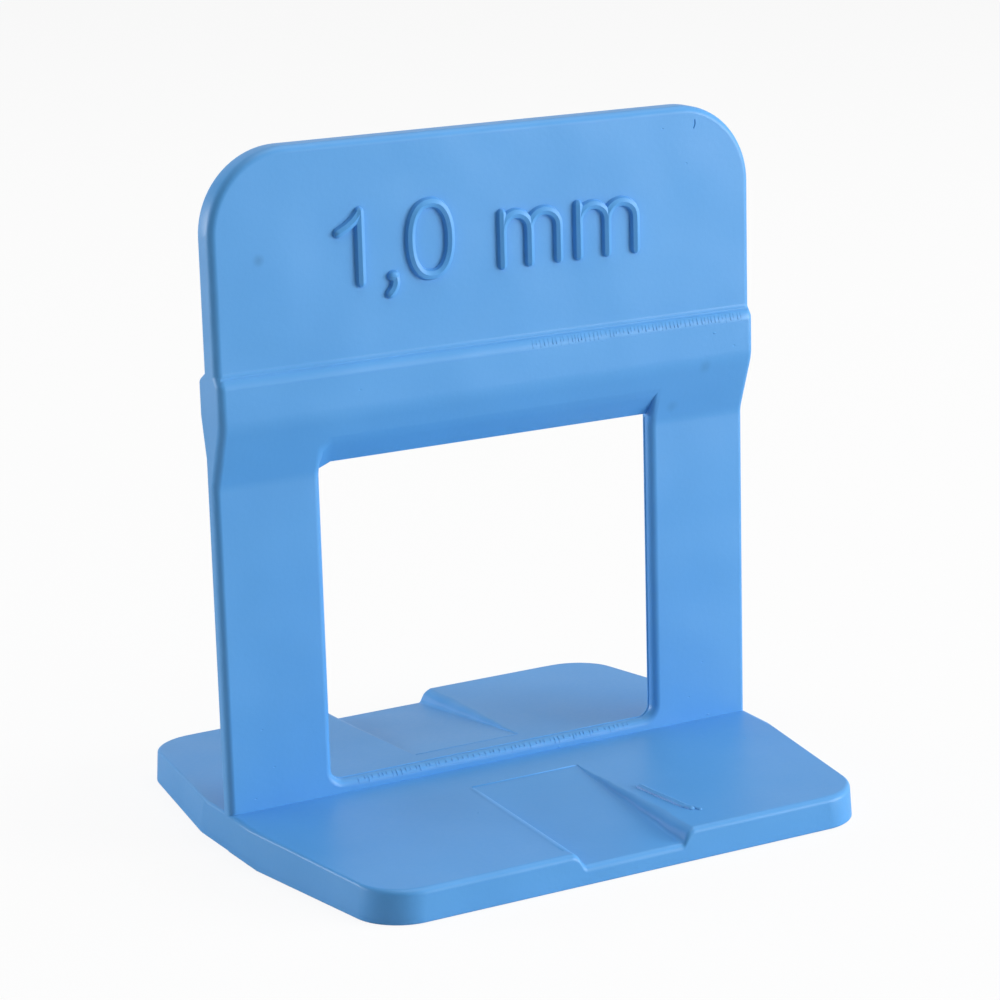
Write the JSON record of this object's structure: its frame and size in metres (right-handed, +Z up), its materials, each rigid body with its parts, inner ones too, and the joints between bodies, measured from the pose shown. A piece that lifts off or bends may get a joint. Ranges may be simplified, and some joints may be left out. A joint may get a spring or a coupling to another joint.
{
  "type": "tile levelling clip",
  "caption": "Tile levelling clip: a recessed base plate, thin legs framing a wedge window, and a thickened crossbar under a round-cornered head plate.",
  "frame": {"origin": "middle of the base's underside, under the legs' middle plane", "axes": "+X along the tile joint, +Y across the joint towards the rear, +Z up from the underside to the head"},
  "size_m": [0.036, 0.0324, 0.0413],
  "materials": {
    "clip": "satin moulded polypropylene, light blue"
  },
  "bodies": {
    "root": {"clip": "clip"}
  },
  "joints": []
}
